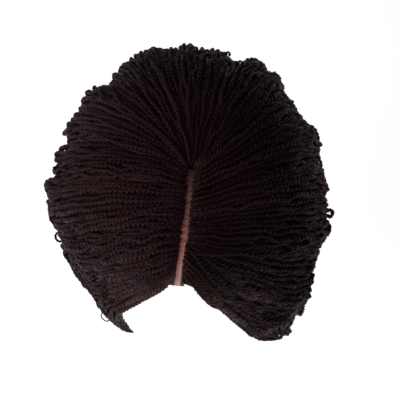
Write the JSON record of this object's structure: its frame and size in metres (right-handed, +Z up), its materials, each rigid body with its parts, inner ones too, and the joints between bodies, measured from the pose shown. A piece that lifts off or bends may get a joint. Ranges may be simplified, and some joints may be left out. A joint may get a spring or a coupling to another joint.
{
  "type": "braid wig",
  "caption": "Short bob wig of thin rope twists on a net cap, with a lace part in the middle and an open front for the face.",
  "frame": {"origin": "inside of the cap at the crown, where the head carries the wig", "axes": "+Z up as worn, the face looks along -Y, +X to the right of the picture"},
  "size_m": [0.2758, 0.2741, 0.2305],
  "materials": {
    "cap_net": "black stretch net with sewn wefts",
    "lace": "brown-pink fine lace",
    "braid_fibre": "brown-black synthetic hair in tight rope twists with a soft sheen"
  },
  "bodies": {
    "root": {"cap": "cap_net", "parting_lace": "lace", "braids_front_left": "braid_fibre", "braids_side_left": "braid_fibre", "braids_back_left": "braid_fibre", "braids_back": "braid_fibre", "braids_back_right": "braid_fibre", "braids_side_right": "braid_fibre", "braids_front_right": "braid_fibre"}
  },
  "joints": []
}
